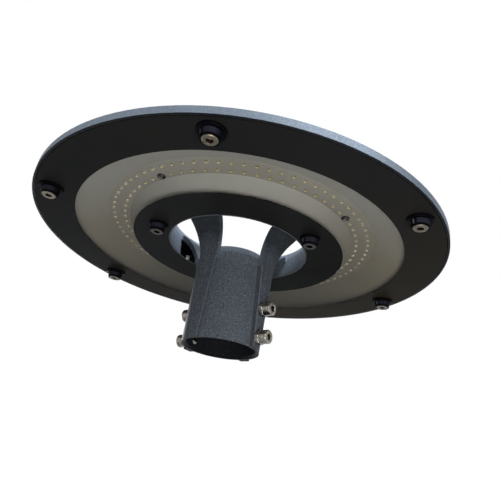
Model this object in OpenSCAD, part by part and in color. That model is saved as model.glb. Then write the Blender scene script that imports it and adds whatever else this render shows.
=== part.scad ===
// Post-top park light: a flat annular lamp head held by four curved arms on a spigot tube.
// The origin is the centre of the spigot's lower end face, and +Z is up.
// Heights called "lift" are measured upwards from the outer face of the glass.

/* [Ring] */
// Outer diameter of the ring
ring_d = 420; // [412:1:440]
// Gap between the spigot's tube and the edge of the ring's hole
ring_gap = 34; // [32:0.5:36]
// Height of the rim's outer side
rim_h = 7; // [6.8:0.1:9]
// Height of the wall round the centre hole
wall_h = 28; // [27:0.5:32]
// Rise of the domed top above a straight slope
dome_rise = 6; // [5:0.5:8]
// Thickness of the cast shell
shell_t = 3; // [2.4:0.1:3.2]
// Thickness of the lip outside the glass
rim_lip_t = 2; // [1.5:0.1:2.5]
// Thickness of the lip inside the glass
hole_lip_t = 1.4; // [1.2:0.1:1.8]
// Width of the solid flange above the outer gasket
flange_w = 26; // [24:0.5:27]
// Height of the wall's upright part, below its tapered upper band
band_lift = 21; // [20.5:0.5:23]
// How far the tapered upper band leans back
band_taper = 2; // [0.5:0.1:2.5]

/* [Spigot] */
// Distance from the spigot's lower end to the glass
spigot_drop = 107; // [100:1:130]
// Outer diameter of the spigot
tube_d = 76; // [75:0.5:78]
// Wall of the spigot
tube_t = 4; // [3.5:0.1:5]
// Distance from the glass down to the spigot's shoulder
shoulder_drop = 19.5; // [18:0.5:24]
// Height of the sloped shoulder
shoulder_h = 8.5; // [6:0.5:9]
// Width of the sloped shoulder
shoulder_w = 6; // [4:0.5:8]
// Thickness of the spigot's crown, which stops the pole
crown_t = 5; // [4:0.5:6]
// Diameter of the cable opening in the crown
outlet_d = 30; // [20:1:40]
// Chamfer at the mouth of the bore
mouth_chamfer = 2.4; // [1:0.1:3]

/* [Arms] */
// How far the ribs stand out from the spigot
rib_depth = 5; // [4:0.5:6]
// Width of a rib at the spigot's lower end
rib_w = 10; // [9:0.5:12]
// Width of a rib where it starts to widen into an arm
arm_w = 18; // [16:0.5:20]
// Width of an arm where it meets the ring
arm_top_w = 35; // [32:0.5:36]
// Radius of the curved outer face of an arm
arm_bend = 52; // [51:0.5:54]
// Thickness of an arm
arm_t = 5; // [4:0.5:5.5]
// Distance from the glass down to where the arms start to bend
bend_drop = 28; // [27:0.5:30]
// Radius of the curve that widens an arm
flare_bend = 200; // [160:5:260]
// How far below the bend an arm starts to widen
flare_lead = 10; // [6:1:14]
// Length of the curve that is hidden where the widening starts
flare_ease = 12; // [8:1:16]

/* [Clamp screws] */
// Nominal diameter of the clamp screws
clamp_d = 8; // [6:1:8]
// Length of a clamp screw under its head
clamp_len = 12.8; // [10:0.1:12.9]
// Height of the lower clamp screw above the spigot's end
clamp_low = 10; // [9:0.5:14]
// Distance between the clamp screws on one side
clamp_pitch = 27.5; // [24:0.5:34]

/* [Glass] */
// Thickness of the glass
glass_t = 4; // [3:0.5:5]
// Clearance between the glass and its lips
glass_gap = 0.5; // [0.3:0.1:0.8]
// Width of the black enamel band along the rim, measured from the ring's edge
outer_band_w = 40.5; // [38:0.5:44]
// Width of the black enamel band along the hole, measured from the hole's edge
inner_band_w = 38.5; // [36:0.5:40]
// Thickness of the enamel
print_t = 0.2; // [0.1:0.05:0.3]
// Thickness of the squeezed gaskets
gasket_t = 1.5; // [1:0.1:2]
// Width of the inner sealing land
land_w = 8; // [7:0.5:9]

/* [Cover screws] */
// Nominal diameter of the cover screws
cover_d = 8; // [6:1:8]
// Length of a cover screw under its head
cover_len = 11; // [10:0.5:11.5]
// Number of screws round the outer edge
outer_screws = 6; // [4:1:8]
// Distance of the outer screws from the ring's edge
outer_screw_inset = 17.5; // [16:0.5:18]
// Number of screws round the centre hole
inner_screws = 3; // [3:3:6]
// Distance of the inner screws from the hole's edge
inner_screw_inset = 15.5; // [14:0.5:17]
// Base diameter of the outer cup washers
outer_cup_d = 23.6; // [22:0.2:26]
// Base diameter of the inner cup washers
inner_cup_d = 20; // [19:0.5:22]
// Height of a cup washer
cup_h = 8.5; // [8:0.1:9]
// Thickness of a cup washer's floor
cup_floor = 0.8; // [0.6:0.1:1.2]
// Thickness of a cup washer's flange
cup_flange_t = 2.2; // [1.6:0.1:3]
// Thickness of the rubber under a cup washer
seal_t = 0.5; // [0.4:0.1:1]

/* [Light engine] */
// Thickness of the reflector sheet
sheet_t = 0.8; // [0.5:0.1:1.2]
// Width of the LED board outside the outer row
board_out_w = 6; // [4:0.5:8]
// Width of the LED board inside the inner row
board_in_w = 5; // [5:0.5:7]
// Thickness of the LED board
board_t = 1.6; // [1:0.1:2]
// Metal and sheet over the board's pad where the dome comes lowest
pad_t = 3.4; // [2:0.1:5]
// Side of a square LED
led_w = 3; // [2:0.1:3.5]
// Height of an LED
led_h = 1; // [0.6:0.1:1.4]
// Radius of the outer row of LEDs
outer_row_r = 134.5; // [128:0.5:140]
// Number of LEDs in the outer row
outer_row_n = 78; // [60:2:84]
// Distance between the two rows of LEDs
row_step = 11.5; // [10:0.5:14]
// Number of LEDs between two board screws
inner_row_run = 16; // [12:1:18]
// Nominal diameter of the board screws
board_screw_d = 4; // [3:0.5:4]
// Length of a board screw under its head
board_screw_len = 6; // [5:0.5:6]
// Width of the reflector's inner slope, measured flat
inner_slope_w = 14; // [12:0.5:16]
// How far the reflector reaches past the window, behind the enamel
reflector_lap = 3.5; // [2:0.5:6]

/* [Driver bay] */
// Share of the bay's width that the driver takes
driver_fill = 0.68; // [0.5:0.01:0.75]
// Share of the bay's length that the driver takes
driver_span = 0.9; // [0.6:0.01:0.95]
// Height of the driver
driver_h = 12; // [9:0.5:12.5]
// Thickness of the driver's ears
ear_t = 2.5; // [2:0.1:3]
// Length of each of the driver's ears
ear_w = 8; // [7:0.5:10]
// Nominal diameter of the screws of driver and terminal block
bay_screw_d = 3; // [2.5:0.5:3]
// How far those screws reach into the casting
bay_screw_grip = 3; // [2.5:0.1:3.2]
// Length of the terminal block
block_l = 22; // [18:1:26]
// Height of the terminal block
block_h = 9; // [8:0.5:12]
// Width of the cable pocket at its top
pocket_w = 33; // [30:0.5:34]
// Narrowing of the cable pocket towards its bottom
pocket_draft = 9; // [4:0.5:10]
// Depth of the cable pocket
pocket_depth = 13; // [11:0.5:14]
// Thread diameter of the cable gland
gland_d = 6; // [5:0.5:6]

/* [Hidden] */
$fn = 96;

// Where the arms stand, and what lines up with them
arm_n = 4;
arm_az = 45;
pocket_az = arm_az + 90;
clamp_az = arm_az + 90;
outer_screw_az = 15;
inner_screw_az = 75;
driver_az = 255;
block_az = 165;

tiny = 0.01;
run_gap = 0.1;
arc_fn = 720;

ring_r = ring_d / 2;
hole_r = tube_d / 2 + ring_gap;
tube_r = tube_d / 2;
bore_r = tube_r - tube_t;
crown_r = tube_r - shoulder_w;
rib_r = tube_r + rib_depth;
glass_low = print_t;
glass_top = print_t + glass_t;
seat_lift = glass_top + gasket_t;
land_t = 3;
flange_r = ring_r - flange_w;
land_r = hole_r + land_w;
glass_r = ring_r - rim_lip_t - glass_gap;
glass_hole_r = hole_r + hole_lip_t + glass_gap;
window_r = ring_r - outer_band_w;
window_hole_r = hole_r + inner_band_w;
outer_screw_r = ring_r - outer_screw_inset;
inner_screw_r = hole_r + inner_screw_inset;

// The domed top is one arc from the rim's upper edge to the wall's upper edge
dome_low = [ring_r, rim_h];
dome_high = [hole_r + band_taper, wall_h];
dome_chord = norm(dome_high - dome_low);
dome_radius = (dome_chord * dome_chord / 4 + dome_rise * dome_rise) / (2 * dome_rise);
dome_run = [(dome_high[0] - dome_low[0]) / dome_chord, (dome_high[1] - dome_low[1]) / dome_chord];
dome_centre = (dome_low + dome_high) / 2 - [dome_run[1], -dome_run[0]] * (dome_radius - dome_rise);

// Height of the dome's underside above the glass at a radius
function under_dome(r) = dome_centre[1] + sqrt(pow(dome_radius - shell_t, 2) - pow(r - dome_centre[0], 2));

// The light engine hangs as high as the dome allows
inner_row_r = outer_row_r - row_step;
board_r = outer_row_r + board_out_w;
board_hole_r = inner_row_r - board_in_w;
pad_r = board_r + 2.5;
pad_lift = under_dome(pad_r) - pad_t;
board_lift = pad_lift - board_t;
reflector_low = glass_top + 0.6;
reflector_hole_r = board_hole_r - inner_slope_w;
reflector_r = window_r + reflector_lap;
board_gap = 0.15;

// The driver lies in the bay between the hole's wall and the reflector's inner edge
bay_low_r = hole_r + shell_t + band_taper + 2;
driver_w = driver_fill * (reflector_hole_r - bay_low_r);
driver_l = 2 * driver_span * sqrt(pow(reflector_hole_r, 2) - pow(bay_low_r + driver_w, 2));
bay_r = bay_low_r + driver_w / 2;
bay_lift = under_dome(window_hole_r) - 0.8;
block_w = 0.65 * driver_w;
boss_wall = 4;

// The pocket is cut into the wall below the root of an arm
pocket_floor = seat_lift + 1.5;
pocket_top = sqrt(pow(arm_bend, 2) - pow(rib_r + arm_bend - hole_r, 2)) - bend_drop - 0.15;
pocket_sill = 1;
pocket_skin = 2.4;
gland_lift = pocket_floor + 4.2;
gland_top = gland_lift + 1.6;
gland_barrel_r = 4.2;
gland_r = hole_r - 4.5;
gland_side = 3.4;

// Sizes of the metric fasteners, worked out from the thread
socket_turn = 1 / cos(30);
function head_d(d) = 1.5 * d + 1;
function key_d(d) = 0.75 * d * socket_turn;
function nut_d(d) = (1.5 * d + 1) * socket_turn;
function thin_nut_t(d) = d / 2;

// Moves a part up so that its zero height is the outer face of the glass
module at_glass() {
    translate([0, 0, spigot_drop])
        children();
}

// Copies a part round the axis
module around(n, radius, first) {
    for (i = [0 : n - 1])
        rotate([0, 0, first + i * 360 / n])
            translate([radius, 0, 0])
                children();
}

// A flat ring with its lower face at the height given
module flat_ring(outer_r, inner_r, low, thickness) {
    translate([0, 0, low])
        linear_extrude(thickness)
            difference() {
                circle(r = outer_r, $fn = 360);
                circle(r = inner_r, $fn = 360);
            }
}

// A socket head screw with its head's bearing face at zero height and its head below
module socket_screw(d, length) {
    difference() {
        rotate_extrude()
            polygon([
                [0, -d],
                [head_d(d) / 2 - 0.6, -d],
                [head_d(d) / 2, -d + 0.6],
                [head_d(d) / 2, 0],
                [d / 2, 0],
                [d / 2, length - 0.8],
                [d / 2 - 0.8, length],
                [0, length]
            ]);
        translate([0, 0, -d - 1])
            cylinder(d = key_d(d), h = d / 2 + 1, $fn = 6);
        // The drilled point at the bottom of the key's hole
        translate([0, 0, -d / 2 - tiny])
            cylinder(d1 = 0.72 * d, d2 = 0, h = 0.14 * d, $fn = 48);
    }
}

// A pan head screw with its head's bearing face at zero height and its head below
module pan_screw(d, length) {
    difference() {
        rotate_extrude($fn = 48)
            polygon([
                [0, -0.6 * d],
                [0.6 * d, -0.6 * d],
                [0.9 * d, -0.36 * d],
                [d, 0],
                [d / 2, 0],
                [d / 2, length],
                [0, length]
            ]);
        for (turn = [0, 90])
            rotate([0, 0, turn])
                translate([-0.5 * d, -0.09 * d, -0.6 * d - 1])
                    cube([d, 0.18 * d, 1 + 0.3 * d]);
    }
}

// Outline of the dome's underside, lowered by a distance
module dome_disc(lower) {
    translate(dome_centre)
        circle(r = dome_radius - lower, $fn = arc_fn);
}

// Half profile of the ring with the open space for glass and light engine taken out
module ring_profile() {
    difference() {
        intersection() {
            dome_disc(0);
            polygon([
                [hole_r + 0.4, 0],
                [ring_r - 0.4, 0],
                [ring_r, 0.4],
                [ring_r, wall_h + 2],
                [hole_r + band_taper, wall_h + 2],
                [hole_r + band_taper, wall_h],
                [hole_r, band_lift],
                [hole_r, 0.4]
            ]);
        }
        intersection() {
            dome_disc(shell_t);
            polygon([
                [land_r, seat_lift - tiny],
                [flange_r, seat_lift - tiny],
                [flange_r, wall_h + 2],
                [hole_r + shell_t + 1 + band_taper, wall_h + 2],
                [hole_r + shell_t + 1, band_lift],
                [hole_r + shell_t + 1, seat_lift + land_t],
                [land_r, seat_lift + land_t]
            ]);
        }
        polygon([
            [hole_r + hole_lip_t, -1],
            [ring_r - rim_lip_t, -1],
            [ring_r - rim_lip_t, seat_lift],
            [hole_r + hole_lip_t, seat_lift]
        ]);
    }
}

// Solid under the dome, used to end pads and bosses in the shell
module dome_body() {
    rotate_extrude($fn = 180)
        intersection() {
            dome_disc(shell_t / 2);
            translate([hole_r + 2, 0])
                square([flange_r - hole_r, wall_h + 2]);
        }
}

// Annular pad that the light engine is screwed to
module engine_pad() {
    intersection() {
        dome_body();
        flat_ring(pad_r, board_hole_r, pad_lift + sheet_t, wall_h);
    }
}

// Bosses for the inner cover screws and pads for the driver and the terminal block
module bosses() {
    intersection() {
        dome_body();
        union() {
            around(inner_screws, inner_screw_r, inner_screw_az)
                translate([0, 0, seat_lift])
                    cylinder(d = cover_d + 2 * boss_wall, h = wall_h);
            rotate([0, 0, driver_az])
                for (side = [-1, 1])
                    translate([bay_r - driver_w / 2, side * (driver_l - ear_w) / 2 - ear_w / 2, bay_lift])
                        cube([driver_w, ear_w, wall_h]);
            rotate([0, 0, block_az])
                translate([inner_screw_r - block_w / 2, -block_l / 2, bay_lift])
                    cube([block_w, block_l, wall_h]);
        }
    }
}

// Front view of the cable pocket: wide at the top, narrower at the bottom, widened by a skin
module pocket_front(skin) {
    half_top = pocket_w / 2 + skin;
    half_low = half_top - pocket_draft / 2;
    polygon([
        [-half_low, pocket_sill],
        [half_low, pocket_sill],
        [half_top, pocket_top + skin],
        [-half_top, pocket_top + skin]
    ]);
}

// Space inside the pocket: a shallow sill in front of the glass and a deep chamber above it
module pocket_space() {
    front = hole_r - 2.5;
    step = hole_r + hole_lip_t + 0.3;
    intersection() {
        rotate([90, 0, 90])
            linear_extrude(hole_r + 2 * pocket_depth)
                pocket_front(0);
        rotate([90, 0, 0])
            translate([0, 0, -pocket_w])
                linear_extrude(2 * pocket_w)
                    polygon([
                        [front, 0],
                        [step, 0],
                        [step, pocket_floor],
                        [hole_r + pocket_depth, pocket_floor],
                        [hole_r + pocket_depth, pocket_top + 1],
                        [hole_r, pocket_top + 1],
                        [hole_r, pocket_top],
                        [front, pocket_top - 1.4]
                    ]);
    }
}

// Walls round the pocket, inside the ring
module pocket_shell() {
    intersection() {
        rotate([90, 0, 90])
            linear_extrude(hole_r + pocket_depth + pocket_skin)
                pocket_front(pocket_skin);
        translate([hole_r + 1, -pocket_w, seat_lift])
            cube([pocket_depth + pocket_skin, 2 * pocket_w, wall_h]);
    }
}

// Half profile of the spigot with its sloped shoulder, bore and crown
module spigot_profile() {
    crown = -shoulder_drop + shoulder_h;
    polygon([
        [bore_r + mouth_chamfer, -spigot_drop],
        [tube_r, -spigot_drop],
        [tube_r, -shoulder_drop],
        [crown_r, crown],
        [outlet_d / 2, crown],
        [outlet_d / 2, crown - crown_t],
        [crown_r - crown_t + 1, crown - crown_t],
        [bore_r, -shoulder_drop - tube_t],
        [bore_r, -spigot_drop + mouth_chamfer]
    ]);
}

// Side view of an arm: straight along the spigot, then curving out to the wall
module arm_side() {
    arm_centre = [rib_r + arm_bend, -bend_drop];
    root = tube_r - 2;
    translate([root, -spigot_drop])
        square([rib_r - root, spigot_drop - bend_drop]);
    difference() {
        union() {
            intersection() {
                translate(arm_centre)
                    circle(r = arm_bend + arm_t, $fn = arc_fn);
                translate([root, -bend_drop])
                    square([hole_r + 4 - root, wall_h + bend_drop]);
            }
            // The wedge between arm and spigot below the shoulder is filled
            translate([root, -bend_drop])
                square([rib_depth + 2, bend_drop - shoulder_drop]);
        }
        translate(arm_centre)
            circle(r = arm_bend, $fn = arc_fn);
    }
}

// Front view of an arm: a tapering rib that widens along two arcs
module arm_front() {
    flare_low = -bend_drop - flare_lead;
    flare_centre = flare_low - flare_ease;
    flare_half = arm_w / 2 - flare_bend + sqrt(flare_bend * flare_bend - flare_ease * flare_ease);
    polygon([
        [-rib_w / 2, -spigot_drop],
        [rib_w / 2, -spigot_drop],
        [arm_w / 2, flare_low],
        [-arm_w / 2, flare_low]
    ]);
    difference() {
        translate([-arm_top_w / 2, flare_low])
            square([arm_top_w, wall_h - flare_low]);
        for (side = [-1, 1])
            translate([side * (flare_half + flare_bend), flare_centre])
                circle(r = flare_bend, $fn = arc_fn);
    }
}

module arm() {
    intersection() {
        rotate([90, 0, 0])
            translate([0, 0, -arm_top_w])
                linear_extrude(2 * arm_top_w)
                    arm_side();
        rotate([90, 0, 90])
            linear_extrude(hole_r + arm_t)
                arm_front();
        translate([0, 0, -spigot_drop])
            cylinder(r = hole_r + 1.5, h = spigot_drop + wall_h, $fn = 360);
    }
}

module housing() {
    color("#7f868e")
        difference() {
            at_glass()
                difference() {
                    union() {
                        rotate([0, 0, arm_az])
                            rotate_extrude($fn = 360)
                                ring_profile();
                        rotate([0, 0, arm_az])
                            rotate_extrude($fn = 180)
                                spigot_profile();
                        around(arm_n, 0, arm_az)
                            arm();
                        engine_pad();
                        bosses();
                        rotate([0, 0, pocket_az])
                            pocket_shell();
                    }
                    rotate([0, 0, pocket_az])
                        pocket_space();
                    // Hole for the gland
                    rotate([0, 0, pocket_az])
                        translate([hole_r + pocket_depth - 1, gland_side, gland_lift])
                            rotate([0, 90, 0])
                                cylinder(d = gland_d + 2 * run_gap, h = pocket_skin + 2);
                    // Tapped holes for the cover screws
                    around(outer_screws, outer_screw_r, outer_screw_az)
                        translate([0, 0, seat_lift - 1])
                            cylinder(d = cover_d + 2 * run_gap, h = cover_len - cup_floor - seal_t - seat_lift + 1.2);
                    around(inner_screws, inner_screw_r, inner_screw_az)
                        translate([0, 0, seat_lift - 1])
                            cylinder(d = cover_d + 2 * run_gap, h = cover_len - cup_floor - seal_t - seat_lift + 2);
                    // Tapped holes for the board, the driver and the terminal block
                    around(arm_n, inner_row_r, arm_az)
                        translate([0, 0, board_lift])
                            cylinder(d = board_screw_d + 2 * run_gap, h = board_screw_len + run_gap);
                    driver_screw_places()
                        cylinder(d = bay_screw_d + 2 * run_gap, h = ear_t + bay_screw_grip + run_gap);
                    block_screw_places()
                        cylinder(d = bay_screw_d + 2 * run_gap, h = block_h + bay_screw_grip + run_gap);
                }
            // Tapped holes for the clamp screws
            clamp_places()
                translate([-rib_depth - tube_t - 3, 0, 0])
                    rotate([0, 90, 0])
                        cylinder(d = clamp_d + 2 * run_gap, h = rib_depth + tube_t + 4);
        }
}

// Places of the clamp screws, on the ribs' outer faces
module clamp_places() {
    for (side = [0, 180])
        rotate([0, 0, clamp_az + side])
            for (height = [clamp_low, clamp_low + clamp_pitch])
                translate([rib_r, 0, height])
                    children();
}

// Places of the driver's screws, at the lower face of its ears
module driver_screw_places() {
    rotate([0, 0, driver_az])
        for (side = [-1, 1])
            translate([bay_r, side * (driver_l - ear_w) / 2, bay_lift - ear_t])
                children();
}

// Place of the terminal block's screw, at the lower face of the block's foot
module block_screw_places() {
    rotate([0, 0, block_az])
        translate([inner_screw_r, 0, bay_lift - block_h])
            children();
}

// Screw clearance holes through glass, enamel and gaskets
module cover_holes(extra) {
    around(outer_screws, outer_screw_r, outer_screw_az)
        translate([0, 0, -1])
            cylinder(d = cover_d + 2 * extra, h = seat_lift + 2);
    around(inner_screws, inner_screw_r, inner_screw_az)
        translate([0, 0, -1])
            cylinder(d = cover_d + 2 * extra, h = seat_lift + 2);
}

module glass_cover() {
    color("#9fb0ad")
        at_glass()
            difference() {
                flat_ring(glass_r, glass_hole_r, glass_low, glass_t);
                cover_holes(1);
            }
}

module outer_print() {
    color("#1c1a1a")
        at_glass()
            difference() {
                flat_ring(glass_r - 0.2, window_r, 0, print_t);
                cover_holes(1);
            }
}

module inner_print() {
    color("#1c1a1a")
        at_glass()
            difference() {
                flat_ring(window_hole_r, glass_hole_r + 0.2, 0, print_t);
                cover_holes(1);
            }
}

module outer_gasket() {
    color("#202124")
        at_glass()
            difference() {
                flat_ring(glass_r, flange_r + 1, glass_top, gasket_t);
                cover_holes(1);
            }
}

module inner_gasket() {
    color("#202124")
        at_glass()
            union() {
                flat_ring(land_r, glass_hole_r, glass_top, gasket_t);
                difference() {
                    around(inner_screws, inner_screw_r, inner_screw_az)
                        translate([0, 0, glass_top])
                            cylinder(d = cover_d + 2 * boss_wall, h = gasket_t);
                    cover_holes(1);
                }
            }
}

// Half profile of the folded sheet: sloped inside, a flat recess that holds the board, sloped outside
module reflector_profile() {
    in_r = board_hole_r - board_gap;
    out_r = board_r + board_gap;
    brim = board_lift + 0.45 * sheet_t;
    polygon([
        [reflector_hole_r, reflector_low],
        [in_r, board_lift],
        [in_r, pad_lift],
        [out_r, pad_lift],
        [out_r, board_lift],
        [reflector_r, reflector_low],
        [reflector_r + 0.3, reflector_low + sheet_t],
        [out_r + sheet_t, brim],
        [out_r + sheet_t, pad_lift + sheet_t],
        [in_r - sheet_t, pad_lift + sheet_t],
        [in_r - sheet_t, brim],
        [reflector_hole_r - 0.9, reflector_low + sheet_t]
    ]);
}

module reflector() {
    color("#a39f90")
        at_glass()
            difference() {
                rotate_extrude($fn = 360)
                    reflector_profile();
                around(arm_n, inner_row_r, arm_az)
                    translate([0, 0, board_lift])
                        cylinder(d = board_screw_d + 0.6, h = board_screw_len);
            }
}

module led_board() {
    color("#b4b1a6")
        at_glass()
            difference() {
                flat_ring(board_r, board_hole_r, board_lift, board_t);
                around(arm_n, inner_row_r, arm_az)
                    translate([0, 0, board_lift - 1])
                        cylinder(d = board_screw_d + 0.6, h = board_screw_len);
            }
}

module led() {
    translate([-led_w / 2, -led_w / 2, board_lift - led_h])
        cube([led_w, led_w, led_h]);
}

module outer_leds() {
    color("#d9cf8a")
        at_glass()
            around(outer_row_n, outer_row_r, arm_az + 180)
                led();
}

module inner_leds() {
    pitch = 90 / (inner_row_run + 1);
    color("#d9cf8a")
        at_glass()
            for (quarter = [0 : arm_n - 1])
                for (i = [1 : inner_row_run])
                    rotate([0, 0, arm_az + quarter * 90 + i * pitch])
                        translate([inner_row_r, 0, 0])
                            led();
}

module board_screws() {
    color("#3c3d40")
        at_glass()
            around(arm_n, inner_row_r, arm_az)
                translate([0, 0, board_lift])
                    pan_screw(board_screw_d, board_screw_len);
}

module driver() {
    body_l = driver_l - 2 * ear_w - 1;
    color("#d8d8d4")
        at_glass()
            rotate([0, 0, driver_az])
                difference() {
                    translate([bay_r, 0, bay_lift]) {
                        translate([-driver_w / 2, -body_l / 2, -driver_h])
                            cube([driver_w, body_l, driver_h]);
                        translate([-driver_w / 2, -driver_l / 2, -ear_t])
                            cube([driver_w, driver_l, ear_t]);
                    }
                    for (side = [-1, 1])
                        translate([bay_r, side * (driver_l - ear_w) / 2, bay_lift - driver_h])
                            cylinder(d = bay_screw_d + 0.6, h = driver_h + 1);
                }
}

module driver_screws() {
    color("#8d9095")
        at_glass()
            driver_screw_places()
                pan_screw(bay_screw_d, ear_t + bay_screw_grip);
}

module terminal_block() {
    color("#c9ccce")
        at_glass()
            difference() {
                rotate([0, 0, block_az])
                    translate([inner_screw_r - block_w / 2, -block_l / 2, bay_lift - block_h])
                        cube([block_w, block_l, block_h]);
                block_screw_places()
                    translate([0, 0, -1])
                        cylinder(d = bay_screw_d + 0.6, h = block_h + 2);
                // Wire entries on both sides of the fixing screw
                rotate([0, 0, block_az])
                    for (side = [-1, 1])
                        translate([inner_screw_r - block_w / 2 - 1, side * block_l / 3.4, bay_lift - block_h / 2])
                            rotate([0, 90, 0])
                                cylinder(d = 3.4, h = block_w + 2, $fn = 48);
            }
}

module terminal_screws() {
    color("#8d9095")
        at_glass()
            block_screw_places()
                pan_screw(bay_screw_d, block_h + bay_screw_grip);
}

module gland_body() {
    wall_out = hole_r + pocket_depth;
    color("#17181a")
        at_glass()
            rotate([0, 0, pocket_az]) {
                // Elbow: an upright barrel with a side branch through the pocket's back
                difference() {
                    union() {
                        translate([gland_r, gland_side, 5.8])
                            cylinder(r = gland_barrel_r, h = gland_top - 5.8);
                        translate([gland_r, gland_side, gland_lift])
                            rotate([0, 90, 0])
                                cylinder(r = 3.2, h = wall_out - gland_r - tiny);
                        translate([wall_out - 5, gland_side, gland_lift])
                            rotate([0, 90, 0])
                                cylinder(r = 4.1, h = 5);
                        translate([wall_out - 1, gland_side, gland_lift])
                            rotate([0, 90, 0])
                                cylinder(d = gland_d, h = 1 + pocket_skin + 4);
                    }
                    translate([gland_r, gland_side, gland_lift])
                        rotate([0, 90, 0])
                            cylinder(r = 1.8, h = wall_out, $fn = 48);
                    translate([gland_r, gland_side, 5])
                        cylinder(r = 2.1, h = gland_lift - 5, $fn = 48);
                }
            }
}

module gland_nut() {
    color("#17181a")
        at_glass()
            rotate([0, 0, pocket_az])
                translate([gland_r, gland_side, 1.8])
                    rotate_extrude()
                        polygon([
                            [2.1, 0],
                            [3.2, 0],
                            [4.2, 1],
                            [4.2, 4],
                            [2.1, 4]
                        ]);
}

module gland_plug() {
    color("#d9dadb")
        at_glass()
            rotate([0, 0, pocket_az])
                translate([gland_r, gland_side, -1.4])
                    cylinder(r = 2, h = 9, $fn = 48);
}

module gland_locknut() {
    color("#17181a")
        at_glass()
            rotate([0, 0, pocket_az])
                translate([hole_r + pocket_depth + pocket_skin, gland_side, gland_lift])
                    rotate([0, 90, 0])
                        difference() {
                            cylinder(d = nut_d(gland_d), h = 2.4, $fn = 6);
                            translate([0, 0, -1])
                                cylinder(d = gland_d + 2 * run_gap, h = 5);
                        }
}

// Ring of rubber between glass and cup
module cup_seal(base_d) {
    difference() {
        translate([0, 0, -seal_t])
            cylinder(d = base_d - 2, h = seal_t);
        translate([0, 0, -seal_t - 1])
            cylinder(d = cover_d + 1, h = seal_t + 2);
    }
}

// Cup that the screw's head sinks into: a thick flange and a barrel that narrows to its rim
module cup_washer(base_d) {
    bore = head_d(cover_d) / 2 + 0.3;
    rim = bore + 0.9;
    foot = bore + 2;
    rotate_extrude()
        polygon([
            [cover_d / 2 + 0.5, -seal_t],
            [base_d / 2 - 0.3, -seal_t],
            [base_d / 2, -seal_t - 0.3],
            [base_d / 2 - 0.3, -seal_t - cup_flange_t + 0.8],
            [base_d / 2 - 1.1, -seal_t - cup_flange_t],
            [foot, -seal_t - cup_flange_t],
            [rim + 0.2, -seal_t - cup_h + 0.5],
            [rim - 0.3, -seal_t - cup_h],
            [bore, -seal_t - cup_h],
            [bore, -seal_t - cup_floor],
            [cover_d / 2 + 0.5, -seal_t - cup_floor]
        ]);
}

module outer_cup_seals() {
    color("#101113")
        at_glass()
            around(outer_screws, outer_screw_r, outer_screw_az)
                cup_seal(outer_cup_d);
}

module outer_cup_washers() {
    color("#17181a")
        at_glass()
            around(outer_screws, outer_screw_r, outer_screw_az)
                cup_washer(outer_cup_d);
}

module outer_cover_screws() {
    color("#b3aea6")
        at_glass()
            around(outer_screws, outer_screw_r, outer_screw_az)
                translate([0, 0, -seal_t - cup_floor])
                    socket_screw(cover_d, cover_len);
}

module inner_cup_seals() {
    color("#101113")
        at_glass()
            around(inner_screws, inner_screw_r, inner_screw_az)
                cup_seal(inner_cup_d);
}

module inner_cup_washers() {
    color("#17181a")
        at_glass()
            around(inner_screws, inner_screw_r, inner_screw_az)
                cup_washer(inner_cup_d);
}

module inner_cover_screws() {
    color("#b3aea6")
        at_glass()
            around(inner_screws, inner_screw_r, inner_screw_az)
                translate([0, 0, -seal_t - cup_floor])
                    socket_screw(cover_d, cover_len);
}

module clamp_nuts() {
    color("#a8a49c")
        clamp_places()
            rotate([0, 90, 0])
                difference() {
                    rotate([0, 0, 30])
                        cylinder(d = nut_d(clamp_d), h = thin_nut_t(clamp_d), $fn = 6);
                    translate([0, 0, -1])
                        cylinder(d = clamp_d + 2 * run_gap, h = thin_nut_t(clamp_d) + 2);
                }
}

module clamp_screws() {
    color("#b3aea6")
        clamp_places()
            translate([thin_nut_t(clamp_d), 0, 0])
                rotate([0, -90, 0])
                    socket_screw(clamp_d, clamp_len);
}

housing();
glass_cover();
outer_print();
inner_print();
outer_gasket();
inner_gasket();
reflector();
led_board();
outer_leds();
inner_leds();
board_screws();
driver();
driver_screws();
terminal_block();
terminal_screws();
gland_body();
gland_nut();
gland_plug();
gland_locknut();
outer_cup_seals();
outer_cup_washers();
outer_cover_screws();
inner_cup_seals();
inner_cup_washers();
inner_cover_screws();
clamp_nuts();
clamp_screws();
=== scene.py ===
import math
from functools import cached_property

import bmesh
import bpy
from mathutils import Matrix, Vector


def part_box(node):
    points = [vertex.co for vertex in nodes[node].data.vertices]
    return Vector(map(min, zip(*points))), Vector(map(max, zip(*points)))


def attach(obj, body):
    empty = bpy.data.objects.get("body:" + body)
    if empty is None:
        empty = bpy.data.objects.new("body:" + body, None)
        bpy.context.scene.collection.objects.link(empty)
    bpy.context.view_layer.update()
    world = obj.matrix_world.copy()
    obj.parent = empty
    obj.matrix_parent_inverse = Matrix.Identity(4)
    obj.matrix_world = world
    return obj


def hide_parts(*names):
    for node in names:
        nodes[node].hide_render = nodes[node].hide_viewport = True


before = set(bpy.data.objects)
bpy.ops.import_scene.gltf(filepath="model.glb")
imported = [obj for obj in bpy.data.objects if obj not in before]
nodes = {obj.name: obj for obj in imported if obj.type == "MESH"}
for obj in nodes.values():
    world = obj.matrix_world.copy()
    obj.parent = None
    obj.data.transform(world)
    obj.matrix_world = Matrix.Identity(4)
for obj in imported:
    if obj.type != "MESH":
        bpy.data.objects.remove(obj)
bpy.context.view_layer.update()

# Sizes of the part that the scene repeats, in metres
GLASS_Z = 0.107            # height of the glass above the spigot's lower end
BEND_Z = 0.079             # the ribs are straight up to here, and the arms bend outwards above
ARM_AZ = math.radians(45)  # the four ribs and arms stand on the diagonals
DIAGONAL = 0.7071          # sine and cosine of that angle
OUTER_ROW_R = 0.1345
OUTER_ROW_N = 78
INNER_ROW_R = 0.123
INNER_ROW_RUN = 16         # LEDs between two board screws

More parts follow.
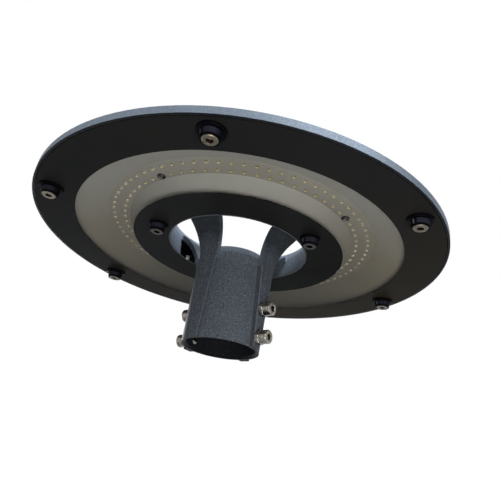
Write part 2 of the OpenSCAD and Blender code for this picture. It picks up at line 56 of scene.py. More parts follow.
# Camera, fitted to the ellipses of the rim, the window and the rows of LEDs
LENS = 35.58               # mm, on a sensor of SENSOR_WIDTH mm
SENSOR_WIDTH = 36.0
CLIP_START = 0.01
DISTANCE = 0.5252          # metres from the ring's centre
ELEVATION = math.radians(25.46)  # angle by which the camera lies below the ring
AZIMUTH = math.radians(-5.2)
PITCH = math.radians(-0.35)
YAW = math.radians(-1.44)
ROLL = math.radians(9.98)


def photo_camera():
    """Camera below the ring: placed in polar terms round its centre, then aimed with three small turns."""
    centre = Vector((0, 0, GLASS_Z))
    offset = Vector((0, -DISTANCE * math.cos(ELEVATION), -DISTANCE * math.sin(ELEVATION)))
    forward = -offset.normalized()
    right = Vector((1, 0, 0))
    down = forward.cross(right)
    look = Matrix((right, down, forward))
    aim = Matrix.Rotation(ROLL, 3, "Z") @ Matrix.Rotation(YAW, 3, "Y") @ Matrix.Rotation(PITCH, 3, "X")
    look = aim @ look
    axes = Matrix((look[0], -look[1], -look[2])).transposed()
    turn = Matrix.Rotation(AZIMUTH, 3, "Z")
    data = bpy.data.cameras.new("camera")
    data.lens = LENS
    data.sensor_width = SENSOR_WIDTH
    data.clip_start = CLIP_START
    camera = bpy.data.objects.new("camera", data)
    bpy.context.scene.collection.objects.link(camera)
    camera.matrix_world = Matrix.Translation(centre + turn @ offset) @ (turn @ axes).to_4x4()
    bpy.context.scene.camera = camera


photo_camera()
bpy.context.scene.view_settings.view_transform = "Standard"


# Shader helpers
BEVEL_SAMPLES = 6
DEPTH_TURN = 0.25          # share of x in the depth of a point


def rgba(colour):
    """A grey level, or red, green and blue, as the four numbers that a socket wants."""
    if isinstance(colour, float):
        colour = (colour, colour, colour)
    return (*colour, 1.0)


def is_socket(value):
    return isinstance(value, bpy.types.NodeSocket)


class Graph:
    """The node tree of a material or of the world, with a short call for each kind of node used here."""

    def __init__(self, name, world=False):
        if world:
            self.owner = bpy.data.worlds.new(name)
            bpy.context.scene.world = self.owner
        else:
            self.owner = bpy.data.materials.new(name)
        self.owner.use_nodes = True
        self.tree = self.owner.node_tree
        self.tree.nodes.clear()

    def feed(self, socket, value):
        """Links a socket to another node's output, or sets its own value."""
        if is_socket(value):
            self.tree.links.new(value, socket)
        else:
            socket.default_value = value

    def node(self, kind, values=None, **props):
        """Adds a node. The values go by an input's name or number."""
        made = self.tree.nodes.new(kind)
        for key, value in props.items():
            setattr(made, key, value)
        for key, value in (values or {}).items():
            self.feed(made.inputs[key], value)
        return made

    def math(self, operation, *values):
        return self.node("ShaderNodeMath", dict(enumerate(values)), operation=operation).outputs[0]

    def size(self, value):
        """The value without its sign."""
        return self.math("ABSOLUTE", value)

    def product(self, first, *others):
        """All the factors multiplied, from left to right. Of masks, it is where all of them hold."""
        total = first
        for factor in others:
            total = self.math("MULTIPLY", total, factor)
        return total

    def above(self, value, limit):
        """Mask: 1 where the value is above the limit, else 0."""
        return self.math("GREATER_THAN", value, limit)

    def below(self, value, limit):
        """Mask: 1 where the value is below the limit, else 0."""
        return self.math("LESS_THAN", value, limit)

    def between(self, value, low, high):
        """Mask: 1 between the two limits, else 0."""
        return self.product(self.above(value, low), self.below(value, high))

    def spread(self, value, start=0.0, end=1.0, first=0.0, last=1.0):
        """Runs evenly from first to last while the value runs from start to end, and stays there beyond."""
        values = {"Value": value, "From Min": start, "From Max": end, "To Min": first, "To Max": last}
        return self.node("ShaderNodeMapRange", values).outputs["Result"]

    def noise(self, scale, detail=3.0, rough=0.5, coords=None):
        """Noise from 0 to 1, with about scale grains a metre."""
        values = {
            "Vector": self.coords if coords is None else coords,
            "Scale": scale,
            "Detail": detail,
            "Roughness": rough,
        }
        return self.node("ShaderNodeTexNoise", values).outputs["Fac"]

    def ramp(self, value, stops):
        """Colour ramp through stops of a place and a colour, in rising order."""
        made = self.node("ShaderNodeValToRGB", {"Fac": value})
        elements = made.color_ramp.elements
        for index in (0, -1):
            place, colour = stops[index]
            elements[index].position = place
            elements[index].color = rgba(colour)
        for place, colour in stops[1:-1]:
            elements.new(place).color = rgba(colour)
        return made.outputs["Color"]

    def mix(self, share, first, second, blend="MIX"):
        """Mixes two colours: the first where share is 0, the second where it is 1."""
        made = self.node("ShaderNodeMix", {0: share}, data_type="RGBA", blend_type=blend)
        for index, colour in ((6, first), (7, second)):
            self.feed(made.inputs[index], colour if is_socket(colour) else rgba(colour))
        return made.outputs[2]

    def tint(self, colour, factor):
        """A colour multiplied by another, or by a grey factor."""
        return self.mix(1.0, colour, factor, "MULTIPLY")

    def bump(self, height, strength, depth, normal=None):
        values = {"Height": height, "Strength": strength, "Distance": depth}
        if normal is not None:
            values["Normal"] = normal
        return self.node("ShaderNodeBump", values).outputs["Normal"]

    def rounded(self, radius):
        """The surface's normal, rounded off over sharp edges."""
        return self.node("ShaderNodeBevel", {"Radius": radius}, samples=BEVEL_SAMPLES).outputs[0]

    def edge_wear_and_highlight(self, rounded, low=0.80, high=0.97):
        """1 on sharp edges, 0 on flats, from how far the rounded normal leans away from the true one."""
        true = self.node("ShaderNodeNewGeometry").outputs["Normal"]
        lean = self.node("ShaderNodeVectorMath", {0: rounded, 1: true}, operation="DOT_PRODUCT")
        return self.spread(lean.outputs["Value"], high, low)

    @cached_property
    def coords(self):
        """Object coordinates of the shaded point, in metres."""
        return self.node("ShaderNodeTexCoord").outputs["Object"]

    @cached_property
    def place(self):
        """The same coordinates as separate outputs X, Y and Z."""
        return self.node("ShaderNodeSeparateXYZ", {0: self.coords}).outputs

    @cached_property
    def normal(self):
        """The surface's normal as separate outputs X, Y and Z."""
        normal = self.node("ShaderNodeNewGeometry").outputs["Normal"]
        return self.node("ShaderNodeSeparateXYZ", {0: normal}).outputs

    @cached_property
    def radius(self):
        """Distance of the shaded point from the spigot's axis."""
        squares = [self.math("POWER", self.place[axis], 2.0) for axis in "XY"]
        return self.math("SQRT", self.math("ADD", *squares))

    @cached_property
    def depth(self):
        """How far back the shaded point lies, along a line turned a little to the right."""
        return self.math("MULTIPLY_ADD", self.place["X"], DEPTH_TURN, self.place["Y"])

    @cached_property
    def seen_white(self):
        """1 for the camera's own rays and for those that glass and glossy surfaces send, else 0."""
        path = self.node("ShaderNodeLightPath").outputs
        seen = self.math("MAXIMUM", path["Is Camera Ray"], path["Is Transmission Ray"])
        return self.math("MAXIMUM", seen, path["Is Glossy Ray"])

    def surface(self, shader):
        """Ends a material with a shader, and gives the material."""
        self.node("ShaderNodeOutputMaterial", {"Surface": shader.outputs[0]})
        return self.owner

    def principled(self, colour, rough, values):
        """Ends a material with the Principled shader, and gives the material."""
        values = {"Base Color": colour, "Roughness": rough, **values}
        return self.surface(self.node("ShaderNodeBsdfPrincipled", values))


# How far a surface's normal may point up or down, from -1 to 1
UPRIGHT = 0.5              # a wall's normal stays within this of level
FACING_DOWN = -0.6
FACING_UP = 0.2

# Zones of the casting that get painted light and shade of their own, in metres. A pair is where a zone starts
# and ends
RIB_LOW_HALF_W = 0.0044    # painted edge highlights start this far from the middle of a rib, at its lower end
RIB_WIDENING = 0.058       # and so much farther for each metre up
RIB_FACE = (0.0598, 0.0700)  # outer faces of the ribs, as the sum of the distances along x and y
RIB_SIDE_X = (-0.01, 0.01)  # from the weak painted highlights of the left ribs to the strong ones on the right
EVEN_REACH = (0.08, 0.20)  # the coat evens out here, as the same sum
ARM_SCALE = 10.0           # radii of ARM_TONES are in tenths of a metre
WALL_EDGE_R = (0.0685, 0.0705)  # from the arms to the wall of the centre hole
RING_EDGE_R = (0.078, 0.100)    # from that wall to the ring
WALL_Z = (0.106, 0.136)
BORE_R = 0.0366            # between the bore and the tube's outside
BORE_TOP_Z = 0.088
POCKET_HALF_W = 0.0175
POCKET_X = -0.03           # the pocket lies on the left of this
POCKET_R = (0.0724, 0.095)
POCKET_TOP_Z = 0.128
SHELL_R = (0.155, 0.205)
SHELL_LOW_Z = 0.108
FLANK_R = (0.0384, 0.0426)  # between the tube's outside and the ribs' outer faces
SPIGOT_END_Z = 0.0026
RING_LIP_R = 0.204
RIM_R = (0.2030, 0.2085)
RIM_X = (-0.20, 0.20)
RIM_FRONT_Y = (0.0, -0.06)

# The casting's paint: blue-grey speckled coat, with painted light and shade by those zones
SPECKLE = [
    (0.34, (0.152, 0.177, 0.218)),
    (0.50, (0.260, 0.298, 0.360)),
    (0.67, (0.478, 0.538, 0.634)),
]
EVEN_COAT = (0.285, 0.325, 0.390)
COAT_CLOUDS = [(0.3, 0.92), (0.7, 1.05)]
EDGE_WEAR_AND_HIGHLIGHT = 0.35           # share of pale edge on sharp edges: partly bare metal, partly painted highlight
PATCH_WEAR = 0.30          # and so much more in patches
PATCH_LEVEL = 0.44
# Pale edge colour, partly bare metal and partly painted highlight
WORN_EDGE_AND_HIGHLIGHT = (0.56, 0.58, 0.61)
# Painted highlight along the ribs' edges
RIB_HIGHLIGHT = (0.54, 0.60, 0.69)
# Painted light and shade of the zones, as factors on the paint's colour
ARM_TONES = [(0.0, 0.47), (0.425, 0.47), (0.50, 0.155), (0.70, 0.155)]
BORE_TONE = 0.06
POCKET_TONE = 0.04
SHELL_TONE = (0.60, 0.48, 0.32)
NEAR_FLANK_TONE = 0.72
FAR_FLANK_TONE = 0.12
SPIGOT_END_TONE = 0.015
RING_LIP_TONE = 0.07
RIM_TONES = [
    (0.05, 0.95),
    (0.16, 0.84),
    (0.30, 0.68),
    (0.42, 0.72),
    (0.47, 0.83),
    (0.54, 1.02),
    (0.64, 1.08),
    (0.71, 0.72),
    (0.78, 0.50),
]


def paint_coat(g, fine, rounded):
    """Fine speckle that evens out towards the rim, under slow clouds, with pale edges that are partly
    rubbed-off paint and partly painted highlight.
    """
    reach = g.math("ADD", g.size(g.place["X"]), g.size(g.place["Y"]))
    evened = g.spread(reach, *EVEN_REACH, first=0.05, last=0.60)
    colour = g.mix(evened, g.ramp(fine, SPECKLE), EVEN_COAT)
    colour = g.tint(colour, g.ramp(g.noise(scale=14.0, rough=0.55), COAT_CLOUDS))
    edge_wear_and_highlight = g.edge_wear_and_highlight(rounded)
    patches = g.product(edge_wear_and_highlight, g.above(g.noise(scale=160.0, detail=2.0), PATCH_LEVEL))
    worn_and_lit = g.math("ADD", g.product(edge_wear_and_highlight, EDGE_WEAR_AND_HIGHLIGHT), g.product(patches, PATCH_WEAR))
    return g.mix(worn_and_lit, colour, WORN_EDGE_AND_HIGHLIGHT)


def rib_edge_highlights(g):
    """Share of painted highlight along the edges of the four ribs, stronger on the right side, where more
    light falls.
    """
    wide = g.size(g.place["X"])
    deep = g.size(g.place["Y"])
    reach = g.math("ADD", wide, deep)
    from_middle = g.product(g.size(g.math("SUBTRACT", wide, deep)), DIAGONAL)
    half_width = g.math("MULTIPLY_ADD", g.place["Z"], RIB_WIDENING, RIB_LOW_HALF_W)
    mask = g.product(
        g.above(g.math("SUBTRACT", from_middle, half_width), 0.0),
        g.between(reach, *RIB_FACE),
        g.below(g.place["Z"], BEND_Z),
    )
    strength = g.spread(g.place["X"], *RIB_SIDE_X, first=0.34, last=0.85)
    broken = g.spread(g.noise(scale=220.0, detail=2.0), 0.35, 0.55, first=0.55, last=1.0)
    return g.product(mask, strength, broken)


def arm_and_wall_tone(g):
    """Painted shade: darker from the ring inwards to the bent arms, and down the wall of the centre hole."""
    arm = g.ramp(g.product(g.radius, ARM_SCALE), ARM_TONES)
    wall = g.spread(g.place["Z"], *WALL_Z, first=0.40, last=1.0)
    at_wall = g.spread(g.radius, *WALL_EDGE_R)
    at_ring = g.spread(g.radius, *RING_EDGE_R)
    return g.mix(at_ring, g.mix(at_wall, arm, wall), 1.0)


def bore_mask(g):
    """Inside of the spigot up to its crown, which gets painted shade."""
    return g.product(g.below(g.radius, BORE_R), g.below(g.place["Z"], BORE_TOP_Z))


def pocket_mask(g):
    """Cable pocket behind the wall of the centre hole, which gets no light."""
    across = g.product(g.math("ADD", g.place["X"], g.place["Y"]), DIAGONAL)
    return g.product(
        g.below(g.size(across), POCKET_HALF_W),
        g.below(g.place["X"], POCKET_X),
        g.between(g.radius, *POCKET_R),
        g.below(g.place["Z"], POCKET_TOP_Z),
    )


def shell_mask(g):
    """Inside of the shell, seen past the reflector's edge, which gets painted shade."""
    return g.product(
        g.between(g.radius, *SHELL_R),
        g.below(g.normal["Z"], FACING_UP),
        g.above(g.place["Z"], SHELL_LOW_Z),
    )


def flank_tone(g):
    """Flanks of the ribs: in the shade of the light from the front, most of all on the far side."""
    mask = g.product(g.between(g.radius, *FLANK_R), g.below(g.place["Z"], BEND_Z))
    tone = g.mix(g.above(g.place["Y"], 0.0), NEAR_FLANK_TONE, FAR_FLANK_TONE)
    return mask, tone


def rim_tone(g):
    """Painted light on the front of the rim's side, brightest right of its middle."""
    along = g.spread(g.place["X"], *RIM_X)
    front = g.spread(g.place["Y"], *RIM_FRONT_Y)
    on_rim = g.spread(g.radius, *RIM_R)
    return g.product(front, on_rim), g.ramp(along, RIM_TONES)


def casting_tones(g):
    """Share of light that reaches each zone of the casting. Multiplies the paint's colour."""
    tone = arm_and_wall_tone(g)
    for mask, dark in ((bore_mask(g), BORE_TONE), (pocket_mask(g), POCKET_TONE), (shell_mask(g), SHELL_TONE)):
        tone = g.mix(mask, tone, dark)
    mask, flank = flank_tone(g)
    tone = g.mix(mask, tone, g.tint(tone, flank))
    # Painted shade on faces that look down: the spigot's lower end and the ring's lip
    down = g.below(g.normal["Z"], FACING_DOWN)
    tone = g.mix(g.product(down, g.below(g.place["Z"], SPIGOT_END_Z)), tone, SPIGOT_END_TONE)
    tone = g.mix(g.product(down, g.above(g.radius, RING_LIP_R)), tone, RING_LIP_TONE)
    mask, rim = rim_tone(g)
    return g.mix(mask, tone, g.tint(tone, rim))


def casting_paint():
    g = Graph("casting_paint")
    fine = g.noise(scale=980.0, detail=2.0, rough=0.6)
    grain = g.noise(scale=2300.0, detail=2.0)
    rounded = g.rounded(0.0006)
    colour = paint_coat(g, fine, rounded)
    colour = g.mix(rib_edge_highlights(g), colour, RIB_HIGHLIGHT)
    colour = g.tint(colour, casting_tones(g))
    height = g.math("ADD", g.product(fine, 0.7), g.product(grain, 0.3))
    normal = g.bump(height, strength=0.35, depth=0.00035, normal=rounded)
    rough = g.spread(grain, first=0.40, last=0.58)
    return g.principled(colour, rough, {"Specular IOR Level": 0.04, "Normal": normal})


# Glass and its print
ENAMEL_CLOUDS = [(0.30, (0.021, 0.022, 0.024)), (0.72, (0.028, 0.0275, 0.027))]
DRIFT_START = -0.08
DUST_LEVEL = 0.73
DUST_SHARE = 0.10
DUST_TONE = 0.20
GLASS_TINT = (0.985, 0.972, 0.945)
HAZE_TONE = 0.16
HAZE_SHARE = 0.35


def black_enamel(name, far_colour, reach):
    """Print on the glass. Painted light and shade drift it to far_colour while x + y rises from DRIFT_START
    to reach.
    """
    g = Graph(name)
    drift = g.spread(g.math("ADD", g.place["X"], g.place["Y"]), DRIFT_START, reach)
    colour = g.ramp(g.noise(scale=9.0, rough=0.6), ENAMEL_CLOUDS)
    colour = g.mix(drift, colour, far_colour)
    dust = g.above(g.noise(scale=700.0, detail=2.0, rough=0.6), DUST_LEVEL)
    colour = g.mix(g.product(dust, DUST_SHARE), colour, DUST_TONE)
    rough = g.spread(g.noise(scale=45.0), first=0.30, last=0.46)
    normal = g.bump(g.noise(scale=260.0, detail=2.0), strength=0.05, depth=0.0002)
    return g.principled(colour, rough, {"Specular IOR Level": 0.006, "Normal": normal})


def clear_glass():
    """Clear pane with a thin uneven haze and a weak gloss on its outside."""
    g = Graph("clear_glass")
    haze = g.spread(g.noise(scale=26.0, detail=4.0, rough=0.6), 0.4, 0.8, first=0.03, last=0.10)
    tint = g.node("ShaderNodeBsdfTransparent", {"Color": rgba(GLASS_TINT)})
    film = g.node("ShaderNodeBsdfDiffuse", {"Color": rgba(HAZE_TONE)})
    gloss = g.node("ShaderNodeBsdfGlossy", {"Color": rgba(1.0), "Roughness": 0.03})
    fresnel = g.node("ShaderNodeFresnel", {"IOR": 1.06})
    outside = g.math("SUBTRACT", 1.0, g.node("ShaderNodeNewGeometry").outputs["Backfacing"])
    hazy = g.product(haze, HAZE_SHARE)
    body = g.node("ShaderNodeMixShader", {0: hazy, 1: tint.outputs[0], 2: film.outputs[0]})
    shine = g.product(fresnel.outputs[0], outside)
    return g.surface(g.node("ShaderNodeMixShader", {0: shine, 1: body.outputs[0], 2: gloss.outputs[0]}))


# Sheet metal behind the glass
SHEET_PEEL = [(0.25, 0.96), (0.75, 1.03)]
# Painted highlight on the sheets' sharp edges, and its share
SHEET_EDGE_HIGHLIGHT = (0.74, 0.73, 0.70)
SHEET_HIGHLIGHT_SHARE = 0.8
WINDOW_DEPTH = (-0.11, 0.16)   # front and back of the window, along Graph.depth
# Painted shade from the front of the window to its back, and at the back painted light and shade from the
# inner part to the outer slope
WINDOW_SHADE = [(0.0, 1.0), (0.45, (0.62, 0.563, 0.46)), (1.0, (0.128, 0.113, 0.080))]
OUTER_SLOPE_R = (0.125, 0.170)


def sheet_paint(name, low, high, rough):
    """Pale coat of the reflector and the board, with painted highlights on sharp edges and painted shade that
    makes it darker and yellower towards the back of the window, where painted light and shade brighten the
    outer slope and dim the inner part.
    """
    g = Graph(name)
    peel = g.noise(scale=420.0, rough=0.6)
    colour = g.ramp(g.noise(scale=11.0), [(0.3, low), (0.7, high)])
    colour = g.tint(colour, g.ramp(peel, SHEET_PEEL))
    edge_wear_and_highlight = g.edge_wear_and_highlight(g.rounded(0.0007), low=0.75)
    colour = g.mix(g.product(edge_wear_and_highlight, SHEET_HIGHLIGHT_SHARE), colour, SHEET_EDGE_HIGHLIGHT)
    away = g.spread(g.depth, *WINDOW_DEPTH)
    colour = g.tint(colour, g.ramp(away, WINDOW_SHADE))
    slope = g.spread(g.radius, *OUTER_SLOPE_R, first=0.78, last=1.35)
    colour = g.mix(away, colour, g.tint(colour, slope))
    normal = g.bump(peel, strength=0.08, depth=0.0002)
    return g.principled(colour, rough, {"Specular IOR Level": 0.15, "Normal": normal})


# Rubber and plastic
CUP_WALL_Z = (0.0996, 0.1040)
CUP_LIGHT = [(0.09, 0.2), (0.16, 1.0), (0.60, 1.0), (0.90, 0.25)]
CUP_GLINT = [(0.012, 0.0), (0.028, 1.0), (0.044, 1.0), (0.068, 0.0)]
CUP_GLINT_COLOUR = (0.17, 0.175, 0.19)
SHADE_EDGE = 0.0008        # height over which the darkness of a shaded piece sets in


def rubber():
    g = Graph("black_rubber")
    colour = g.ramp(g.noise(scale=120.0), [(0.3, 0.004), (0.7, 0.008)])
    normal = g.bump(g.noise(scale=1400.0, detail=2.0), strength=0.15, depth=0.0002)
    return g.principled(colour, 0.72, {"Specular IOR Level": 0.04, "Normal": normal})


def cup_wall(g, colour, side):
    """Painted light and a painted glint on the upright wall of a cup washer, between its flange and its lower
    lip.
    """
    upright = g.below(g.size(g.normal["Z"]), UPRIGHT)
    wall = g.product(upright, g.between(g.place["Z"], *CUP_WALL_Z))
    turn = g.math("MULTIPLY_ADD", g.normal["X"], 0.5, 0.5)
    light = g.mix(1.0, side, g.ramp(turn, CUP_LIGHT), "MULTIPLY")
    lit = g.mix(g.ramp(turn, CUP_GLINT), light, CUP_GLINT_COLOUR)
    return g.mix(wall, colour, lit)


def moulding(name, low, high, rough, gloss=0.4, side=None, shade_above=None):
    """Moulded plastic. side is the painted light on the walls of cup washers, and painted shade makes it dark
    above shade_above.
    """
    g = Graph(name)
    colour = g.ramp(g.noise(scale=60.0), [(0.3, low), (0.7, high)])
    if side is not None:
        colour = cup_wall(g, colour, side)
    if shade_above is not None:
        dark = g.spread(g.place["Z"], shade_above, shade_above + SHADE_EDGE, first=1.0, last=0.10)
        colour = g.tint(colour, dark)
    normal = g.bump(g.noise(scale=900.0, detail=2.0), strength=0.10, depth=0.0001, normal=g.rounded(0.0003))
    return g.principled(colour, rough, {"Specular IOR Level": gloss, "Normal": normal})


# Metal fastenings
# Painted reflection, by how far the surface faces up: 0 facing down, 1 facing up
STEEL_REFLECTION_BANDS = [
    (0.0, 0.24),
    (0.20, 0.38),
    (0.35, 0.50),
    (0.50, 0.62),
    (0.64, 0.95),
    (0.80, 1.0),
    (0.90, 0.10),
    (1.0, 0.6),
]
# Painted highlight on sharp edges, and its share
STEEL_EDGE_HIGHLIGHT = (0.85, 0.83, 0.80)
STEEL_HIGHLIGHT_SHARE = 0.9
STEEL_DEPTH = (-0.05, 0.15)        # painted shade: screws dim from here to there along y
BRUSHED = (300.0, 300.0, 2600.0)   # grains a metre along x, y and z
# Painted highlight on the tips of the lower clamp screws
LIT_TIP = (0.66, 0.67, 0.68)
LIT_TIP_MATT = 0.9                # share by which the tips are no metal, so that they stay pale as a painted highlight
TIP_Z = 0.0088                     # top of the bright part of the lower clamp screws' tips


def steel(name, low, high, rough, edge=STEEL_EDGE_HIGHLIGHT, tip_r=None, far_tone=None):
    """Brushed metal, with painted reflection: light and dark by how far its surface faces up or down.

    Sharp edges take the edge colour, a painted highlight where it is paler. Inside tip_r the screws' ends get
    a painted highlight, pale and partly matt. far_tone dims the screws at the back with painted shade.
    """
    g = Graph(name)
    brushed = g.node("ShaderNodeMapping", {"Vector": g.coords, "Scale": BRUSHED}).outputs[0]
    lines = g.noise(scale=1.0, rough=0.6, coords=brushed)
    colour = g.ramp(g.noise(scale=320.0, rough=0.6), [(0.3, low), (0.7, high)])
    colour = g.tint(colour, g.ramp(g.math("MULTIPLY_ADD", g.normal["Z"], 0.5, 0.5), STEEL_REFLECTION_BANDS))
    if far_tone is not None:
        colour = g.tint(colour, g.spread(g.place["Y"], *STEEL_DEPTH, first=1.0, last=far_tone))
    rounded = g.rounded(0.0004)
    colour = g.mix(g.product(g.edge_wear_and_highlight(rounded), STEEL_HIGHLIGHT_SHARE), colour, edge)
    metallic = 1.0
    if tip_r is not None:
        tip = g.product(g.below(g.radius, tip_r), g.below(g.place["Z"], TIP_Z))
        colour = g.mix(tip, colour, LIT_TIP)
        metallic = g.math("MULTIPLY_ADD", tip, -LIT_TIP_MATT, 1.0)
    smoothest, roughest = rough
    rough = g.spread(lines, first=smoothest, last=roughest)
    normal = g.bump(lines, strength=0.06, depth=0.0001, normal=rounded)
    return g.principled(colour, rough, {"Metallic": metallic, "Normal": normal})


# Phosphor of the LEDs
PHOSPHOR_TONES = [(0.3, (0.95, 0.86, 0.36)), (0.7, (1.0, 0.94, 0.50))]
PHOSPHOR_DEPTH = (-0.11, 0.13)


def phosphor():
    """Yellow pool of an LED, with painted shade that dims it towards the back of the window."""
    g = Graph("led_phosphor")
    colour = g.ramp(g.noise(scale=900.0, detail=2.0), PHOSPHOR_TONES)
    colour = g.tint(colour, g.spread(g.depth, *PHOSPHOR_DEPTH, first=1.0, last=0.16))
    return g.principled(colour, 0.28, {"Specular IOR Level": 0.4, "Coat Weight": 0.5, "Coat Roughness": 0.1})


PAINT = casting_paint()
# Outer print: painted light makes it lighter and browner towards the back right
ENAMEL = black_enamel("black_enamel", far_colour=(0.048, 0.040, 0.029), reach=0.24)
# Inner print: painted shade makes it darker towards the back right
INNER_ENAMEL = black_enamel("inner_enamel", far_colour=0.0040, reach=0.10)
GLASS = clear_glass()
REFLECTOR = sheet_paint("reflector_paint", low=(0.482, 0.504, 0.520), high=(0.514, 0.538, 0.556), rough=0.55)
BOARD = sheet_paint("board_resist", low=(0.424, 0.430, 0.420), high=(0.462, 0.468, 0.458), rough=0.42)
RUBBER = rubber()
BLACK = moulding(
    "black_plastic",
    low=(0.0020, 0.0021, 0.0028),
    high=(0.0036, 0.0038, 0.0050),
    rough=0.30,
    gloss=0.012,
    side=(0.036, 0.038, 0.056),
)
PALE = moulding("pale_plastic", low=0.72, high=0.82, rough=0.35, shade_above=0.1168)
CASE = moulding("driver_case", low=(0.62, 0.62, 0.60), high=(0.70, 0.70, 0.68), rough=0.5)
STEEL = steel(
    "stainless",
    low=(0.19, 0.175, 0.15),
    high=(0.54, 0.50, 0.44),
    rough=(0.18, 0.32),
    edge=(1.0, 0.96, 0.90),
    tip_r=0.0352,
)
HEADS = steel(
    "stainless_heads",
    low=(0.26, 0.21, 0.15),
    high=(0.48, 0.395, 0.29),
    rough=(0.22, 0.36),
    edge=(0.30, 0.25, 0.19),
    far_tone=0.30,
)
HEADS_IN_SHADE = steel(
    "stainless_heads_dim",
    low=(0.030, 0.024, 0.018),
    high=(0.060, 0.050, 0.040),
    rough=(0.34, 0.50),
    edge=(0.16, 0.135, 0.11),
)
DARK = steel("dark_steel", low=(0.05, 0.05, 0.055), high=(0.10, 0.10, 0.105), rough=(0.28, 0.42))
PHOSPHOR = phosphor()
PACKAGE = moulding("led_package", low=(0.30, 0.265, 0.19), high=(0.42, 0.38, 0.29), rough=0.4)
TIN = steel("tinned_ends", low=(0.50, 0.49, 0.46), high=(0.66, 0.64, 0.60), rough=(0.30, 0.45))

LOOKS = {
    "housing": PAINT,
    "glass_cover": GLASS,
    "outer_print": ENAMEL,
    "inner_print": INNER_ENAMEL,
    "outer_gasket": RUBBER,
    "inner_gasket": RUBBER,
    "reflector": REFLECTOR,
    "led_board": BOARD,
    "outer_leds": PACKAGE,
    "inner_leds": PACKAGE,
    "board_screws": DARK,
    "driver": CASE,
    "driver_screws": STEEL,
    "terminal_block": CASE,
    "terminal_screws": STEEL,
    "gland_body": BLACK,
    "gland_nut": BLACK,
    "gland_plug": PALE,
    "gland_locknut": BLACK,
    "outer_cup_seals": RUBBER,
    "outer_cup_washers": BLACK,
    "outer_cover_screws": HEADS,
    "inner_cup_seals": RUBBER,
    "inner_cup_washers": BLACK,
    "inner_cover_screws": HEADS_IN_SHADE,
    "clamp_nuts": STEEL,
    "clamp_screws": STEEL,
}
for name, look in LOOKS.items():
    shown = nodes[name]
    shown.data.materials.clear()
    shown.data.materials.append(look)

# One LED: moulded frame, phosphor pool and tinned ends, in metres
LED_LOOKS = (PACKAGE, PHOSPHOR, TIN)
FRAME, POOL, END = range(3)
LED_HALF_X = 0.00150
LED_HALF_Y = 0.00140
LED_CORNER = 0.00015       # cut off each corner of the frame
LED_CHAMFER = 0.00010      # round the frame's face, this wide
LED_CHAMFER_H = 0.00012    # and this high
MOUTH_INSET = 0.00026
MOUTH_CORNER = 0.00032
POOL_INSET = 0.00032
POOL_CORNER = 0.00030
POOL_DEPTH = 0.00012
END_INNER_X = 0.00148
END_OUTER_X = 0.00182
END_HALF_Y = 0.00105
END_T = 0.00022
LED_CLEARANCE = 0.00001    # keeps the LED's foot off the board's face


def led_shape(height):
    """One LED lying on z = 0 and facing -z, as points and (face, material index) pairs."""
    verts = []
    faces = []

    def ring(inset, corner, z):
        """Adds an octagon inside the frame's outline and gives the numbers of its points."""
        half_x = LED_HALF_X - inset
        half_y = LED_HALF_Y - inset
        start = len(verts)
        for sx, sy in ((1, 1), (-1, 1), (-1, -1), (1, -1)):
            on_end = (sx * half_x, sy * (half_y - corner), z)
            on_side = (sx * (half_x - corner), sy * half_y, z)
            verts.extend((on_end, on_side) if sx == sy else (on_side, on_end))
        return range(start, start + 8)

    rings = (
        ring(0.0, LED_CORNER, 0.0),
        ring(0.0, LED_CORNER, LED_CHAMFER_H - height),
        ring(LED_CHAMFER, LED_CORNER, -height),
        ring(MOUTH_INSET, MOUTH_CORNER, -height),
        ring(POOL_INSET, POOL_CORNER, POOL_DEPTH - height),
    )
    for low, high in zip(rings, rings[1:]):
        for i in range(8):
            j = (i + 1) % 8
            faces.append(((low[i], low[j], high[j], high[i]), FRAME))
    faces.append((tuple(rings[-1]), POOL))
    for side in (-1, 1):
        start = len(verts)
        inner = side * END_INNER_X
        outer = side * END_OUTER_X
        plan = ((inner, -END_HALF_Y), (outer, -END_HALF_Y), (outer, END_HALF_Y), (inner, END_HALF_Y))
        for z in (0.0, -END_T):
            verts.extend([(x, y, z) for x, y in plan])
        for quad in ((4, 5, 6, 7), (0, 1, 5, 4), (1, 2, 6, 5), (2, 3, 7, 6)):
            faces.append((tuple(start + k for k in quad), END))
    return verts, faces


def led_row(name, node, places):
    """Copies the LED to (angle, radius) places on the board and replaces the node's plain solids."""
    low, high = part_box(node)
    foot = Vector((0, 0, high[2] - LED_CLEARANCE))
    shape, faces = led_shape(high[2] - low[2])
    quarter = Matrix.Rotation(math.pi / 2, 3, "Z")
    verts, polys, looks = [], [], []
    for angle, radius in places:
        turn = Matrix.Rotation(angle, 3, "Z")
        place = turn @ Vector((radius, 0, 0)) + foot
        start = len(verts)
        verts.extend([place + turn @ quarter @ Vector(v) for v in shape])
        for face, look in faces:
            polys.append(tuple(start + k for k in face))
            looks.append(look)
    mesh = bpy.data.meshes.new(name)
    mesh.from_pydata(verts, [], polys)
    for look in LED_LOOKS:
        mesh.materials.append(look)
    mesh.polygons.foreach_set("material_index", looks)
    piece = bpy.data.objects.new(name, mesh)
    bpy.context.scene.collection.objects.link(piece)
    work = bmesh.new()
    work.from_mesh(mesh)
    bmesh.ops.recalc_face_normals(work, faces=work.faces)
    work.to_mesh(mesh)
    work.free()
    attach(piece, "root")
    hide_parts(node)


def outer_row_places():
    """LEDs evenly round the board."""
    step = 2 * math.pi / OUTER_ROW_N
    return [(ARM_AZ + math.pi + step * i, OUTER_ROW_R) for i in range(OUTER_ROW_N)]


def inner_row_places():
    """Four runs of LEDs between the board screws, which stand on the diagonals."""
    step = 1 / (INNER_ROW_RUN + 1)
    places = []
    for quarter in range(4):
        for i in range(1, INNER_ROW_RUN + 1):
            places.append((ARM_AZ + math.pi / 2 * (quarter + i * step), INNER_ROW_R))
    return places


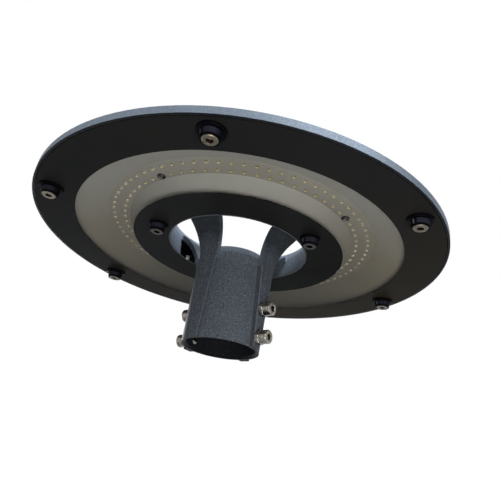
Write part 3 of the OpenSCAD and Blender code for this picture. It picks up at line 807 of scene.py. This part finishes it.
led_row("outer_led_row", "outer_leds", outer_row_places())
led_row("inner_led_row", "inner_leds", inner_row_places())

# Floor, world and lamps
FLOOR_Z = -0.60
FLOOR_HALF = 12.0
FLOOR_REACH = (0.6, 4.0)   # the floor's own glow grows between these distances from the origin
SKY_TONES = [(0.40, 0.03), (0.66, 0.05), (0.80, (0.52, 0.56, 0.60)), (0.90, (0.60, 0.64, 0.68))]


def floor_look(name, plain, pale):
    """Plain for the light on the part. Where it is seen it is white, and darker in the part's shadow."""
    g = Graph(name)
    matt = g.node("ShaderNodeBsdfDiffuse", {"Color": g.mix(g.seen_white, plain, pale)})
    reach = g.node("ShaderNodeVectorMath", {0: g.coords}, operation="LENGTH").outputs["Value"]
    lift = g.spread(reach, *FLOOR_REACH, first=0.30, last=1.0)
    glow = g.node("ShaderNodeEmission", {"Color": rgba(1.0), "Strength": g.product(g.seen_white, lift)})
    return g.surface(g.node("ShaderNodeAddShader", {0: matt.outputs[0], 1: glow.outputs[0]}))


def floor_plane(z, half):
    mesh = bpy.data.meshes.new("floor")
    corners = [(-half, -half, z), (half, -half, z), (half, half, z), (-half, half, z)]
    mesh.from_pydata(corners, [], [(0, 1, 2, 3)])
    floor = bpy.data.objects.new("floor", mesh)
    bpy.context.scene.collection.objects.link(floor)
    mesh.materials.append(floor_look("floor_pale", plain=(0.09, 0.086, 0.078), pale=0.80))


def studio_sky():
    """World that lights the part from above, and is white where the camera, gloss or glass shows it."""
    g = Graph("studio", world=True)
    direction = g.node("ShaderNodeTexCoord").outputs["Generated"]
    rise = g.node("ShaderNodeSeparateXYZ", {0: direction}).outputs["Z"]
    level = g.ramp(g.math("MULTIPLY_ADD", rise, 0.5, 0.5), SKY_TONES)
    colour = g.mix(g.seen_white, level, 1.0)
    back = g.node("ShaderNodeBackground", {"Color": colour, "Strength": 1.0})
    g.node("ShaderNodeOutputWorld", {"Surface": back.outputs[0]})


def soft_lamp(name, place, target, size, power, colour):
    data = bpy.data.lights.new(name, "AREA")
    data.shape = "RECTANGLE"
    data.size, data.size_y = size
    data.energy = power
    data.color = colour
    lamp = bpy.data.objects.new(name, data)
    lamp.location = place
    aim = Vector(target) - Vector(place)
    lamp.rotation_euler = aim.to_track_quat("-Z", "Y").to_euler()
    lamp.visible_camera = False
    bpy.context.scene.collection.objects.link(lamp)


floor_plane(FLOOR_Z, FLOOR_HALF)
studio_sky()
soft_lamp(
    "front_above",
    place=(0.35, -1.75, 2.0),
    target=(0, 0, 0.1),
    size=(1.2, 1.0),
    power=70.0,
    colour=(0.84, 0.93, 1.0),
)
soft_lamp(
    "ground_bounce",
    place=(0.04, -0.48, -0.26),
    target=(0, -0.05, 0.1),
    size=(0.34, 0.30),
    power=1.40,
    colour=(1.0, 0.975, 0.93),
)
soft_lamp(
    "back_low",
    place=(-0.5, 1.8, 0.35),
    target=(0, 0, 0.05),
    size=(0.7, 0.4),
    power=11.0,
    colour=(0.95, 0.97, 1.0),
)
soft_lamp(
    "front_low",
    place=(0.45, -1.8, 0.35),
    target=(0, 0, 0.05),
    size=(0.7, 0.4),
    power=3.0,
    colour=(0.86, 0.93, 1.0),
)
